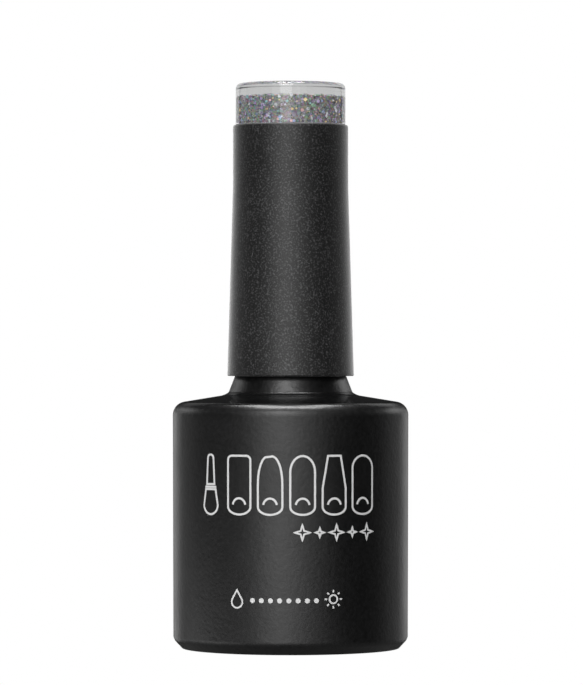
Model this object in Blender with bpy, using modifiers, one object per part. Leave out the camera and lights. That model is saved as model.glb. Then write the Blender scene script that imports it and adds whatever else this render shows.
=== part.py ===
"""A round glass bottle of gel nail polish, with its screw cap and brush.

The bottle stands on the origin and every turned piece shares the Z axis.
The cap is an assembly: an outer sleeve, a threaded inner cap that carries the brush,
and a clear window at the top with a sample of the colour inside it.
"""

import math

import bmesh
import bpy

MM = 0.001

# Driving dimensions of the outside
BODY_RADIUS = 14.28 * MM  # at the shoulder; the side narrows a little towards the base
BODY_FOOT_RADIUS = 14.21 * MM
BODY_TOP = 28.2 * MM  # where the straight side meets the shoulder's round edge
STANDING_RADIUS = 13.2 * MM  # outer edge of the flat ring that the bottle stands on
CHAMFER_TOP = 1.5 * MM
SHOULDER_EDGE = 1.65 * MM  # radius of the shoulder's round edge
SHOULDER_SLOPE = math.radians(9.3)
COLLAR_FOOT_RADIUS = 7.48 * MM  # cone of glass under the cap
COLLAR_FOOT = 31.04 * MM
COLLAR_TOP_RADIUS = 6.76 * MM
COLLAR_TOP = 33.05 * MM  # just inside the cap's foot
SLEEVE_BOTTOM = 32.95 * MM
SLEEVE_BOTTOM_RADIUS = 7.675 * MM
SLEEVE_TAPER_TOP = 56.15 * MM
SLEEVE_TOP_RADIUS = 6.99 * MM
SLEEVE_TOP = 63.35 * MM
WINDOW_RADIUS = 6.65 * MM
TOTAL_HEIGHT = 68.4 * MM

# Glass inside and under the bottle
CAVITY_RADIUS = 11.75 * MM
CAVITY_FLOOR = 3.5 * MM
CAVITY_TOP = 25.6 * MM
FLOOR_EDGE = 2.4 * MM  # radius of the round edge between floor and wall
FLOOR_RISE = 0.4 * MM  # the floor's middle stands higher than its edge
BORE_RADIUS = 3.0 * MM  # the opening that the brush goes through
BASE_RECESS_RADIUS = 10.4 * MM
BASE_RECESS_DEPTH = 0.8 * MM

# Neck, thread and seals
NECK_RADIUS = 5.1 * MM
NECK_TOP = 43.5 * MM
THREAD_PITCH = 2.1 * MM
THREAD_TURNS = 1.5
THREAD_HEIGHT = 0.5 * MM
THREAD_ROOT_WIDTH = 1.3 * MM
THREAD_CREST_WIDTH = 0.6 * MM
THREAD_START = 35.2 * MM
THREAD_STEPS = 32  # to each turn
SEAL_THICKNESS = 0.4 * MM

# Inner cap and what it carries
INNER_CAP_BOTTOM = 33.25 * MM
INNER_CAP_TOP = 46.4 * MM
INNER_CAP_RADIUS = 6.42 * MM
INNER_CAP_BORE = 5.75 * MM
INNER_CAP_CEILING = 44.6 * MM
SOCKET_TOP = 49.3 * MM
SOCKET_RADIUS = 1.9 * MM
BOSS_RADIUS = 3.0 * MM
STEM_RADIUS = 1.3 * MM
STEM_BOTTOM = 13.5 * MM
FERRULE_DEPTH = 2.9 * MM
FERRULE_RADIUS = 0.95 * MM
TUFT_TIP = 4.7 * MM

# Window and colour sample
WINDOW_SEAT = 63.45 * MM
WINDOW_EDGE = 0.7 * MM
POCKET_RADIUS = 5.6 * MM
POCKET_TOP = 66.9 * MM
WEB_TOP = 61.6 * MM

# Contents
FILL_HEIGHT = 24.5 * MM
BALL_RADIUS = 2.0 * MM
BALL_ORBIT = 9.35 * MM
BALL_SPACING = math.radians(28.0)

GAP = 0.15 * MM  # clearance between pieces that touch
OVERLAP = 0.3 * MM  # how far a joined shape sinks into the one that it joins


def clear_scene():
    for old in list(bpy.data.objects):
        bpy.data.objects.remove(old, do_unlink=True)


def new_collection(name):
    collection = bpy.data.collections.new(name)
    bpy.context.scene.collection.children.link(collection)
    return collection


def material(name, colour, roughness, metallic=0.0, transmission=0.0):
    made = bpy.data.materials.new(name)
    made.use_nodes = True
    shader = made.node_tree.nodes["Principled BSDF"]
    shader.inputs["Base Color"].default_value = (*colour, 1.0)
    shader.inputs["Roughness"].default_value = roughness
    shader.inputs["Metallic"].default_value = metallic
    shader.inputs["Transmission Weight"].default_value = transmission
    return made


def arc(centre, radius, start, end, steps):
    """Points (r, z) round a centre; the angles are degrees above the outward direction."""
    points = []
    for step in range(steps + 1):
        angle = math.radians(start + (end - start) * step / steps)
        points.append((centre[0] + radius * math.cos(angle), centre[1] + radius * math.sin(angle)))
    return points


def add_object(name, mesh, collection, finish=None):
    made = bpy.data.objects.new(name, mesh)
    collection.objects.link(made)
    if finish is not None:
        mesh.materials.append(finish)
    return made


def turned(name, profile, segments, collection, finish=None, closed=False):
    """A turned piece. The profile's (r, z) points run down its outer side, top to bottom."""
    edges = [(i, i + 1) for i in range(len(profile) - 1)]
    if closed:
        edges.append((len(profile) - 1, 0))
    mesh = bpy.data.meshes.new(name)
    mesh.from_pydata([(r, 0.0, z) for r, z in profile], edges, [])
    made = add_object(name, mesh, collection, finish)
    screw = made.modifiers.new("turn", "SCREW")
    screw.axis = "Z"
    screw.steps = segments
    screw.render_steps = segments
    screw.use_merge_vertices = True
    screw.merge_threshold = 0.000001
    screw.use_smooth_shade = True
    return made


def boolean(target, tool, operation):
    cut = target.modifiers.new(tool.name, "BOOLEAN")
    cut.operation = operation
    cut.solver = "EXACT"
    cut.object = tool
    tool.hide_render = True
    tool.display_type = "WIRE"


def thread_ridge(name, root_radius, crest_radius, start_height, collection):
    """A right-hand helical ridge with a trapezoid section; its root may be the inner or outer side."""
    outward = 1.0 if crest_radius > root_radius else -1.0
    sunk_radius = root_radius - outward * OVERLAP
    flank = (THREAD_ROOT_WIDTH - THREAD_CREST_WIDTH) / 2 / THREAD_HEIGHT
    sunk_half = THREAD_ROOT_WIDTH / 2 + flank * OVERLAP
    crest_half = THREAD_CREST_WIDTH / 2
    section = [
        (sunk_radius, 0.0, start_height - sunk_half),
        (crest_radius, 0.0, start_height - crest_half),
        (crest_radius, 0.0, start_height + crest_half),
        (sunk_radius, 0.0, start_height + sunk_half),
    ]
    steps = round(THREAD_STEPS * THREAD_TURNS)
    bm = bmesh.new()
    face = bm.faces.new([bm.verts.new(point) for point in section])
    bmesh.ops.spin(
        bm,
        geom=[face, *face.edges, *face.verts],
        cent=(0.0, 0.0, 0.0),
        axis=(0.0, 0.0, 1.0),
        dvec=(0.0, 0.0, THREAD_PITCH * THREAD_TURNS / steps),
        angle=2 * math.pi * THREAD_TURNS,
        steps=steps,
    )
    bmesh.ops.recalc_face_normals(bm, faces=bm.faces)
    mesh = bpy.data.meshes.new(name)
    bm.to_mesh(mesh)
    bm.free()
    return add_object(name, mesh, collection)


def box(name, size, location, collection, finish=None):
    bm = bmesh.new()
    bmesh.ops.create_cube(bm, size=1.0)
    bmesh.ops.scale(bm, vec=size, verts=bm.verts)
    mesh = bpy.data.meshes.new(name)
    bm.to_mesh(mesh)
    bm.free()
    made = add_object(name, mesh, collection, finish)
    made.location = location
    return made


def floor_height(radius):
    """Height of the cavity's floor, which rises gently towards the axis."""
    edge = CAVITY_RADIUS - FLOOR_EDGE
    return CAVITY_FLOOR + FLOOR_RISE * (1 - (radius / edge) ** 2)


def bottle_profile():
    """From the middle of the cavity's floor, up the inside, over the lip and down the outside."""
    floor_edge_centre = (CAVITY_RADIUS - FLOOR_EDGE, CAVITY_FLOOR + FLOOR_EDGE)
    floor = [(r, floor_height(r)) for r in (0.0, 3.5 * MM, 6.5 * MM)]
    wall = arc(floor_edge_centre, FLOOR_EDGE, -90, 0, 4)
    dome_radius = 2.2 * MM
    dome = arc((CAVITY_RADIUS - dome_radius, CAVITY_TOP), dome_radius, 0, 75, 4)
    throat = [(4.6 * MM, 29.0 * MM), (3.5 * MM, 30.0 * MM), (BORE_RADIUS, 31.6 * MM)]

    lip_inside = 0.5 * MM
    lip_outside = 0.4 * MM
    lip = arc((BORE_RADIUS + lip_inside, NECK_TOP - lip_inside), lip_inside, 180, 90, 3)
    lip += arc((NECK_RADIUS - lip_outside, NECK_TOP - lip_outside), lip_outside, 90, 0, 3)

    collar_edge = 0.24 * MM
    collar = [
        (NECK_RADIUS, COLLAR_TOP),
        (COLLAR_TOP_RADIUS - collar_edge, COLLAR_TOP),
        (COLLAR_TOP_RADIUS - 0.3 * collar_edge, COLLAR_TOP - 0.3 * collar_edge),
        (COLLAR_TOP_RADIUS, COLLAR_TOP - 0.8 * collar_edge),
        (COLLAR_FOOT_RADIUS, COLLAR_FOOT),
    ]

    edge_centre = (BODY_RADIUS - SHOULDER_EDGE, BODY_TOP)
    shoulder_edge = arc(edge_centre, SHOULDER_EDGE, 90 - math.degrees(SHOULDER_SLOPE), 0, 6)
    brow_r, brow_z = shoulder_edge[0]
    shoulder_start = 8.35 * MM
    shoulder_rise = (brow_r - shoulder_start) * math.tan(SHOULDER_SLOPE)
    shoulder = [
        (7.80 * MM, 30.80 * MM),
        (8.00 * MM, 30.68 * MM),
        (shoulder_start, brow_z + shoulder_rise),
    ]
    foot = [
        (BODY_FOOT_RADIUS, CHAMFER_TOP),
        (14.13 * MM, 1.16 * MM),
        (13.97 * MM, 0.88 * MM),
        (STANDING_RADIUS, 0.0),
    ]
    recess_slope = 0.5 * MM
    recess = [
        (BASE_RECESS_RADIUS + recess_slope, 0.0),
        (BASE_RECESS_RADIUS, BASE_RECESS_DEPTH),
        (0.0, BASE_RECESS_DEPTH),
    ]
    return floor + wall + dome + throat + lip + collar + shoulder + shoulder_edge + foot + recess


def make_bottle(parts, cutters, finish):
    bottle = turned("glass_bottle", bottle_profile(), 64, parts, finish)
    neck_crest = NECK_RADIUS + THREAD_HEIGHT
    ridge = thread_ridge("neck_thread", NECK_RADIUS, neck_crest, THREAD_START, cutters)
    boolean(bottle, ridge, "UNION")
    return bottle


def make_base_label(parts, finish):
    thickness = 0.15 * MM
    top = BASE_RECESS_DEPTH - GAP
    radius = BASE_RECESS_RADIUS - 0.6 * MM
    profile = [(0.0, top), (radius, top), (radius, top - thickness), (0.0, top - thickness)]
    return turned("base_label", profile, 40, parts, finish)


def make_gel(parts, finish):
    """The liquid, with a clear well round the brush and a free race for the mixing balls."""
    well = 2.7 * MM
    outside = CAVITY_RADIUS - GAP
    race_inside = BALL_ORBIT - BALL_RADIUS - 2 * GAP
    race_top = CAVITY_FLOOR + 2 * BALL_RADIUS + 3 * GAP
    bottom = floor_height(well) + GAP
    profile = [
        (outside, FILL_HEIGHT),
        (outside, race_top),
        (race_inside, race_top),
        (race_inside, bottom),
        (well, bottom),
        (well, FILL_HEIGHT),
    ]
    return turned("gel_polish", profile, 40, parts, finish, closed=True)


def make_balls(parts, axis, finish):
    """Two steel balls that roll round the floor together, side by side at the back."""
    mesh = bpy.data.meshes.new("mixing_ball")
    bm = bmesh.new()
    bmesh.ops.create_uvsphere(bm, u_segments=16, v_segments=10, radius=BALL_RADIUS)
    bm.to_mesh(mesh)
    bm.free()
    mesh.materials.append(finish)
    mesh.shade_smooth()
    height = CAVITY_FLOOR + BALL_RADIUS + GAP
    for number, side in ((1, -0.5), (2, 0.5)):
        ball = bpy.data.objects.new(f"mixing_ball_{number}", mesh)
        parts.objects.link(ball)
        ball.parent = axis
        angle = math.pi / 2 + side * BALL_SPACING
        ball.location = (BALL_ORBIT * math.cos(angle), BALL_ORBIT * math.sin(angle), height)


def ring(name, inner, outer, bottom, parts, axis, finish):
    top = bottom + SEAL_THICKNESS
    profile = [(outer, top), (outer, bottom), (inner, bottom), (inner, top)]
    made = turned(name, profile, 32, parts, finish, closed=True)
    made.parent = axis
    return made


def make_inner_cap(parts, cutters, axis, finish):
    """A threaded cup whose boss holds the head of the brush stem."""
    boss_top = SOCKET_TOP + 0.8 * MM
    boss_fillet = 0.5 * MM
    entry = 0.4 * MM
    profile = [
        (0.0, boss_top),
        (BOSS_RADIUS - 0.3 * MM, boss_top),
        (BOSS_RADIUS, boss_top - 0.3 * MM),
        (BOSS_RADIUS, INNER_CAP_TOP + boss_fillet),
        (BOSS_RADIUS + boss_fillet, INNER_CAP_TOP),
        (INNER_CAP_RADIUS - 0.3 * MM, INNER_CAP_TOP),
        (INNER_CAP_RADIUS, INNER_CAP_TOP - 0.3 * MM),
        (INNER_CAP_RADIUS, INNER_CAP_BOTTOM),
        (INNER_CAP_BORE + entry / 2, INNER_CAP_BOTTOM),
        (INNER_CAP_BORE, INNER_CAP_BOTTOM + entry),
        (INNER_CAP_BORE, INNER_CAP_CEILING),
        (SOCKET_RADIUS, INNER_CAP_CEILING),
        (SOCKET_RADIUS, SOCKET_TOP),
        (0.0, SOCKET_TOP),
    ]
    inner_cap = turned("inner_cap", profile, 40, parts, finish)
    inner_cap.parent = axis

    cap_crest = INNER_CAP_BORE - THREAD_HEIGHT
    half_pitch_up = THREAD_START + THREAD_PITCH / 2
    ridge = thread_ridge("cap_thread", INNER_CAP_BORE, cap_crest, half_pitch_up, cutters)
    boolean(inner_cap, ridge, "UNION")

    rib_count = 6
    rib_height = INNER_CAP_TOP - INNER_CAP_BOTTOM - 3.0 * MM
    rib_middle = (INNER_CAP_TOP + INNER_CAP_BOTTOM) / 2
    rib_radius = INNER_CAP_RADIUS - 0.07 * MM
    for number in range(rib_count):
        angle = 2 * math.pi * (number + 0.25) / rib_count
        place = (rib_radius * math.cos(angle), rib_radius * math.sin(angle), rib_middle)
        rib = box(f"rib_{number + 1}", (0.34 * MM, 0.5 * MM, rib_height), place, cutters)
        rib.rotation_euler.z = angle
        boolean(inner_cap, rib, "UNION")
    return inner_cap


def make_stem(parts, axis, finish):
    """The brush's rod: a head for the socket, a flange under it and an open ferrule at the foot."""
    flange_top = INNER_CAP_CEILING - GAP
    flange_bottom = NECK_TOP + 0.25 * MM
    head_radius = SOCKET_RADIUS - GAP
    flange_radius = 2.7 * MM
    ferrule_top = STEM_BOTTOM + FERRULE_DEPTH
    foot_edge = 0.12 * MM
    profile = [
        (0.0, SOCKET_TOP - GAP),
        (head_radius - 0.3 * MM, SOCKET_TOP - GAP),
        (head_radius, SOCKET_TOP - 0.5 * MM),
        (head_radius, flange_top),
        (flange_radius, flange_top),
        (flange_radius, flange_bottom),
        (1.6 * MM, flange_bottom - 0.5 * MM),
        (STEM_RADIUS, flange_bottom - 1.6 * MM),
        (STEM_RADIUS, STEM_BOTTOM + foot_edge),
        (STEM_RADIUS - foot_edge, STEM_BOTTOM),
        (FERRULE_RADIUS, STEM_BOTTOM),
        (FERRULE_RADIUS, ferrule_top),
        (0.0, ferrule_top),
    ]
    stem = turned("brush_stem", profile, 20, parts, finish)
    stem.parent = axis
    return stem


def make_staple(parts, axis, finish):
    """The flat wire anchor that pins the folded bristles in the ferrule."""
    height = 0.5 * MM
    top = STEM_BOTTOM + FERRULE_DEPTH - GAP
    staple = box("brush_staple", (1.5 * MM, 0.3 * MM, height), (0.0, 0.0, top - height / 2), parts, finish)
    staple.parent = axis
    return staple


def make_tuft(parts, axis, finish):
    """The bristles as one body: round in the ferrule, flaring, then coming to a rounded tip."""
    root_top = STEM_BOTTOM + FERRULE_DEPTH - 0.5 * MM - 3 * GAP
    root_radius = FERRULE_RADIUS - GAP
    profile = [
        (0.0, root_top),
        (root_radius, root_top),
        (root_radius, STEM_BOTTOM - 0.4 * MM),
        (1.15 * MM, 11.4 * MM),
        (1.38 * MM, 8.6 * MM),
        (1.30 * MM, 6.4 * MM),
        (0.95 * MM, 5.2 * MM),
        (0.45 * MM, TUFT_TIP + 0.1 * MM),
        (0.0, TUFT_TIP),
    ]
    tuft = turned("brush_tuft", profile, 16, parts, finish)
    tuft.parent = axis
    return tuft


def make_sleeve(parts, axis, finish):
    """The outer cap: open at the foot, with a web inside that carries the window."""
    top_edge = 0.3 * MM
    foot_edge = 0.15 * MM
    press_bore = INNER_CAP_RADIUS + 0.2 * MM
    upper_bore = 5.9 * MM
    seat_bore = 6.2 * MM
    ledge = INNER_CAP_TOP + 2 * GAP
    web_bottom = WEB_TOP - 1.2 * MM
    profile = [
        (seat_bore, SLEEVE_TOP),
        (SLEEVE_TOP_RADIUS - top_edge, SLEEVE_TOP),
        (SLEEVE_TOP_RADIUS - 0.3 * top_edge, SLEEVE_TOP - 0.8 * top_edge),
        (SLEEVE_TOP_RADIUS, SLEEVE_TOP - 2 * top_edge),
        (SLEEVE_TOP_RADIUS, SLEEVE_TAPER_TOP),
        (SLEEVE_BOTTOM_RADIUS, SLEEVE_BOTTOM + foot_edge),
        (SLEEVE_BOTTOM_RADIUS - foot_edge, SLEEVE_BOTTOM),
        (press_bore + 2 * foot_edge, SLEEVE_BOTTOM),
        (press_bore, SLEEVE_BOTTOM + 3 * foot_edge),
        (press_bore, ledge),
        (upper_bore, ledge),
        (upper_bore, web_bottom),
        (0.0, web_bottom),
    ]
    seat = [(0.0, WEB_TOP), (seat_bore, WEB_TOP)]
    sleeve = turned("cap_sleeve", seat + profile, 64, parts, finish)
    sleeve.parent = axis
    return sleeve


def make_window(parts, axis, finish):
    """A clear inverted cup that plugs into the sleeve and stands proud of it."""
    plug_radius = 6.2 * MM - GAP
    plug_bottom = WEB_TOP + GAP
    edge_centre = (WINDOW_RADIUS - WINDOW_EDGE, TOTAL_HEIGHT - WINDOW_EDGE)
    profile = [(0.0, TOTAL_HEIGHT), *arc(edge_centre, WINDOW_EDGE, 90, 0, 5)]
    profile += [
        (WINDOW_RADIUS, WINDOW_SEAT),
        (plug_radius, WINDOW_SEAT),
        (plug_radius, plug_bottom),
        (POCKET_RADIUS, plug_bottom),
        (POCKET_RADIUS, POCKET_TOP - 0.3 * MM),
        (POCKET_RADIUS - 0.3 * MM, POCKET_TOP),
        (0.0, POCKET_TOP),
    ]
    window = turned("colour_window", profile, 48, parts, finish)
    window.parent = axis
    return window


def make_sample(parts, axis, finish):
    """The cured colour inside the window."""
    radius = POCKET_RADIUS - GAP
    top = POCKET_TOP - GAP
    bottom = WEB_TOP + 2 * GAP
    top_edge = 0.3 * MM
    profile = [
        (0.0, top),
        (radius - top_edge, top),
        (radius, top - top_edge),
        (radius, bottom),
        (0.0, bottom),
    ]
    sample = turned("colour_sample", profile, 40, parts, finish)
    sample.parent = axis
    return sample


def joint_axis(name, parent, collection):
    """An empty on the bottle's axis, which is the axis of every joint."""
    made = bpy.data.objects.new(name, None)
    made.empty_display_size = 0.01
    made.parent = parent
    collection.objects.link(made)
    return made


def main():
    clear_scene()
    parts = new_collection("nail_polish_bottle")
    cutters = new_collection("cutters")

    lacquer = material("satin_black_lacquered_glass", (0.012, 0.012, 0.013), 0.32)
    soft_black = material("soft_touch_black_plastic", (0.020, 0.020, 0.021), 0.55)
    natural_plastic = material("natural_polypropylene", (0.80, 0.80, 0.78), 0.40)
    black_plastic = material("black_rod_plastic", (0.015, 0.015, 0.015), 0.35)
    nylon = material("black_nylon_bristle", (0.03, 0.028, 0.026), 0.45)
    steel = material("stainless_steel", (0.60, 0.60, 0.61), 0.20, metallic=1.0)
    foam = material("polyethylene_foam", (0.82, 0.82, 0.80), 0.70)
    film = material("seal_film", (0.90, 0.90, 0.90), 0.35)
    clear = material("clear_acrylic", (0.95, 0.95, 0.95), 0.05, transmission=1.0)
    glitter = material("glitter_gel", (0.22, 0.22, 0.24), 0.30, metallic=0.5)
    paper = material("base_label_paper", (0.80, 0.80, 0.80), 0.60)

    lift_axis = joint_axis("lift_axis", None, parts)
    rise_axis = joint_axis("rise_axis", lift_axis, parts)
    turn_axis = joint_axis("turn_axis", rise_axis, parts)
    roll_axis = joint_axis("roll_axis", None, parts)

    make_bottle(parts, cutters, lacquer)
    make_base_label(parts, paper)
    make_gel(parts, glitter)
    make_balls(parts, roll_axis, steel)

    seal_inner = BORE_RADIUS + 0.1 * MM
    washer_bottom = NECK_TOP + 0.05 * MM
    liner_bottom = washer_bottom + SEAL_THICKNESS + 0.1 * MM
    ring("seal_washer", seal_inner, NECK_RADIUS - GAP, washer_bottom, parts, lift_axis, film)
    ring("liner_disc", seal_inner, NECK_RADIUS, liner_bottom, parts, rise_axis, foam)

    make_inner_cap(parts, cutters, turn_axis, natural_plastic)
    make_stem(parts, turn_axis, black_plastic)
    make_staple(parts, turn_axis, steel)
    make_tuft(parts, turn_axis, nylon)
    make_sleeve(parts, turn_axis, soft_black)
    make_window(parts, turn_axis, clear)
    make_sample(parts, turn_axis, glitter)


main()
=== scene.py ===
"""The looks of a round bottle of glitter gel polish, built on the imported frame.

Everything turned shares the bottle's axis, which is the frame's Z axis. Heights are measured
from the surface that the bottle stands on. The front print faces -Y.
"""

import math
import random

import bmesh
import bpy
from mathutils import Matrix, Vector


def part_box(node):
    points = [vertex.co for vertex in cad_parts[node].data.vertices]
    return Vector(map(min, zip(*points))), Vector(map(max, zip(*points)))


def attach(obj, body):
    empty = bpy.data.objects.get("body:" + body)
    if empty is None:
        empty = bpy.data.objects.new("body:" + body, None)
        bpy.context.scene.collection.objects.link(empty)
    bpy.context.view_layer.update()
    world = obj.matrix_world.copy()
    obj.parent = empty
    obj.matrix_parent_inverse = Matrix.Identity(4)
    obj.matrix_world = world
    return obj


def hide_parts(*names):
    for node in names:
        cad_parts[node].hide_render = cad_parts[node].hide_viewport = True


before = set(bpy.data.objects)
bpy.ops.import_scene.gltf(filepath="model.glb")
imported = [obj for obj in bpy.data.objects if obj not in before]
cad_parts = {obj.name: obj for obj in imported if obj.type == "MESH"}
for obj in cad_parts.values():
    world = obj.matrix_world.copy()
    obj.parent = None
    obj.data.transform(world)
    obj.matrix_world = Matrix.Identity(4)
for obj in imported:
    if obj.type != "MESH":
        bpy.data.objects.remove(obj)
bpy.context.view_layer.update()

MM = 0.001

# Outside of the bottle
BODY_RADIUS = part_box("glass_bottle")[1].x
FOOT_RADIUS = BODY_RADIUS - 0.07 * MM
BODY_TOP = 28.2 * MM
STANDING_RADIUS = 13.2 * MM
CHAMFER_TOP = 1.5 * MM
SHOULDER_EDGE = 1.65 * MM
SHOULDER_SLOPE = math.radians(9.3)
SHOULDER_START = 8.35 * MM
COLLAR_FOOT_RADIUS = 7.48 * MM
COLLAR_FOOT = 31.04 * MM
COLLAR_TOP_RADIUS = 6.76 * MM
COLLAR_TOP = 33.05 * MM
NECK_RADIUS = 5.1 * MM
NECK_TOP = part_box("glass_bottle")[1].z

# Inside and under the bottle
CAVITY_RADIUS = 11.75 * MM
CAVITY_FLOOR = 3.5 * MM
CAVITY_TOP = 25.6 * MM
FLOOR_EDGE = 2.4 * MM
FLOOR_RISE = 0.4 * MM
BORE_RADIUS = 3.0 * MM
RECESS_RADIUS = 10.4 * MM
RECESS_DEPTH = 0.8 * MM
FILL_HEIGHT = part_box("gel_polish")[1].z

# Thread on the neck
THREAD_PITCH = 2.1 * MM
THREAD_TURNS = 1.5
THREAD_START = 35.2 * MM
THREAD_HEIGHT = 0.5 * MM

# Cap
SLEEVE_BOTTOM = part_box("cap_sleeve")[0].z
SLEEVE_BOTTOM_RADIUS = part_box("cap_sleeve")[1].x
SLEEVE_TAPER_TOP = 56.15 * MM
SLEEVE_TOP_RADIUS = 6.99 * MM
SLEEVE_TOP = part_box("cap_sleeve")[1].z
SEAT_RADIUS = 6.2 * MM
WEB_TOP = 61.6 * MM
WINDOW_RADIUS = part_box("colour_window")[1].x
WINDOW_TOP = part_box("colour_window")[1].z
WINDOW_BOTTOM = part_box("colour_window")[0].z
WINDOW_SEAT = SLEEVE_TOP + 0.03 * MM
WINDOW_EDGE = 0.62 * MM
POCKET_RADIUS = 5.45 * MM  # the flakes lie in the wall's first tenth of a millimetre
POCKET_TOP = 66.8 * MM

# Brush
CAP_CEILING = 44.6 * MM
STEM_RADIUS = 1.3 * MM
STEM_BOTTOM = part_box("brush_stem")[0].z
STEM_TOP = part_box("brush_stem")[1].z
TUFT_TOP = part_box("brush_tuft")[1].z
TUFT_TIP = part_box("brush_tuft")[0].z

# Film flakes catch the light in these colours
FLAKE_TINTS = (
    (0.70, 0.72, 0.76),
    (0.70, 0.72, 0.76),
    (0.52, 0.55, 0.60),
    (0.40, 0.28, 0.62),
    (0.50, 0.38, 0.66),
    (0.20, 0.52, 0.52),
    (0.28, 0.55, 0.34),
    (0.88, 0.66, 0.26),
    (0.80, 0.42, 0.40),
    (0.30, 0.40, 0.70),
)

# How white the surroundings are through clear plastic, and as light on the object
SEEN_THROUGH_PLASTIC = 0.56
AMBIENT = 0.020


# ---------------------------------------------------------------- shapes


def arc(centre, radius, start, end, steps):
    """Points (r, z) round a centre; the angles are degrees above the outward direction."""
    points = []
    for step in range(steps + 1):
        angle = math.radians(start + (end - start) * step / steps)
        points.append((centre[0] + radius * math.cos(angle), centre[1] + radius * math.sin(angle)))
    return points


def supported(profile, distance):
    """Adds a point near both ends of each long stretch, so that smooth shading stays true there."""
    points = [profile[0]]
    for (r0, z0), (r1, z1) in zip(profile, profile[1:]):
        length = math.hypot(r1 - r0, z1 - z0)
        if length > 4 * distance:
            for share in (distance / length, 1 - distance / length):
                points.append((r0 + (r1 - r0) * share, z0 + (z1 - z0) * share))
        points.append((r1, z1))
    return points


def object_from(bm, name, sharp=35.0):
    """A shaded object from a bmesh, with creases where faces meet at more than sharp degrees."""
    bmesh.ops.recalc_face_normals(bm, faces=bm.faces)
    for face in bm.faces:
        face.smooth = True
    mesh = bpy.data.meshes.new(name)
    bm.to_mesh(mesh)
    bm.free()
    mesh.set_sharp_from_angle(angle=math.radians(sharp))
    made = bpy.data.objects.new(name, mesh)
    bpy.context.scene.collection.objects.link(made)
    return made


def turned(name, profile, segments=128, closed=False):
    """A solid of revolution from a profile of (r, z) points."""
    bm = bmesh.new()
    verts = [bm.verts.new((r, 0.0, z)) for r, z in profile]
    edges = [bm.edges.new(pair) for pair in zip(verts, verts[1:])]
    if closed:
        edges.append(bm.edges.new((verts[-1], verts[0])))
    bmesh.ops.spin(
        bm,
        geom=verts + edges,
        cent=(0.0, 0.0, 0.0),
        axis=(0.0, 0.0, 1.0),
        angle=2 * math.pi,
        steps=segments,
        use_duplicate=False,
    )
    bmesh.ops.remove_doubles(bm, verts=bm.verts, dist=0.001 * MM)
    return object_from(bm, name)


def finish_piece(piece, body, material, slot, *nodes):
    """Gives a piece its material and body, and hides the CAD nodes that it stands for."""
    piece.data.materials.clear()
    piece.data.materials.append(material)
    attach(piece, body)
    if nodes:
        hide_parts(*nodes)
    return piece


# ---------------------------------------------------------------- materials


def new_material(name, colour, roughness, metallic=0.0):
    """A plain material and its shader, for textures to be fed into."""
    material = bpy.data.materials.new(name)
    material.use_nodes = True
    shader = material.node_tree.nodes["Principled BSDF"]
    shader.inputs["Base Color"].default_value = (*colour, 1.0)
    shader.inputs["Roughness"].default_value = roughness
    shader.inputs["Metallic"].default_value = metallic
    return material, shader


def noise_of(material, size, detail=2.0):
    """A noise texture on the piece itself, whose features are about size metres across."""
    nodes = material.node_tree.nodes
    links = material.node_tree.links
    place = nodes.new("ShaderNodeTexCoord")
    noise = nodes.new("ShaderNodeTexNoise")
    noise.inputs["Scale"].default_value = 1.0 / size
    noise.inputs["Detail"].default_value = detail
    links.new(place.outputs["Object"], noise.inputs["Vector"])
    return noise.outputs["Fac"]


def ranged(material, value, low, high, from_low=0.3, from_high=0.7):
    """A texture value mapped to a range."""
    node = material.node_tree.nodes.new("ShaderNodeMapRange")
    node.inputs["From Min"].default_value = from_low
    node.inputs["From Max"].default_value = from_high
    node.inputs["To Min"].default_value = low
    node.inputs["To Max"].default_value = high
    material.node_tree.links.new(value, node.inputs["Value"])
    return node.outputs["Result"]


def coloured(material, value, dark, light):
    """A texture value mapped to a colour between two."""
    node = material.node_tree.nodes.new("ShaderNodeMix")
    node.data_type = "RGBA"
    node.inputs["A"].default_value = (*dark, 1.0)
    node.inputs["B"].default_value = (*light, 1.0)
    material.node_tree.links.new(value, node.inputs["Factor"])
    return node.outputs["Result"]


def mixed(material, share, below, above):
    """A colour output with more of a plain colour where share is high."""
    node = material.node_tree.nodes.new("ShaderNodeMix")
    node.data_type = "RGBA"
    node.inputs["B"].default_value = (*above, 1.0)
    material.node_tree.links.new(share, node.inputs["Factor"])
    material.node_tree.links.new(below, node.inputs["A"])
    return node.outputs["Result"]


def bumped(material, value, height, strength=1.0, below=None):
    """A bump from a texture value, whose full range is height metres."""
    node = material.node_tree.nodes.new("ShaderNodeBump")
    node.inputs["Strength"].default_value = strength
    node.inputs["Distance"].default_value = height
    material.node_tree.links.new(value, node.inputs["Height"])
    if below is not None:
        material.node_tree.links.new(below, node.inputs["Normal"])
    return node.outputs["Normal"]


def feed(material, output, shader, socket):
    """Links an output to a socket of the shader."""
    material.node_tree.links.new(output, shader.inputs[socket])


def by_height(material, stops):
    """A value that changes with height on the piece. The stops are (height, value), low to high."""
    nodes = material.node_tree.nodes
    links = material.node_tree.links
    place = nodes.new("ShaderNodeTexCoord")
    parts = nodes.new("ShaderNodeSeparateXYZ")
    links.new(place.outputs["Object"], parts.inputs["Vector"])
    low, high = stops[0][0], stops[-1][0]
    span = ranged(material, parts.outputs["Z"], 0.0, 1.0, low, high)
    ramp = nodes.new("ShaderNodeValToRGB")
    ramp.color_ramp.elements.remove(ramp.color_ramp.elements[-1])
    for number, (height, value) in enumerate(stops):
        at = (height - low) / (high - low)
        stop = ramp.color_ramp.elements[0] if number == 0 else ramp.color_ramp.elements.new(at)
        stop.position = at
        stop.color = (value, value, value, 1.0)
    links.new(span, ramp.inputs["Fac"])
    return ramp.outputs["Color"]


def added(material, first, second):
    """The sum of two values."""
    node = material.node_tree.nodes.new("ShaderNodeMath")
    material.node_tree.links.new(first, node.inputs[0])
    material.node_tree.links.new(second, node.inputs[1])
    return node.outputs["Value"]


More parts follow.
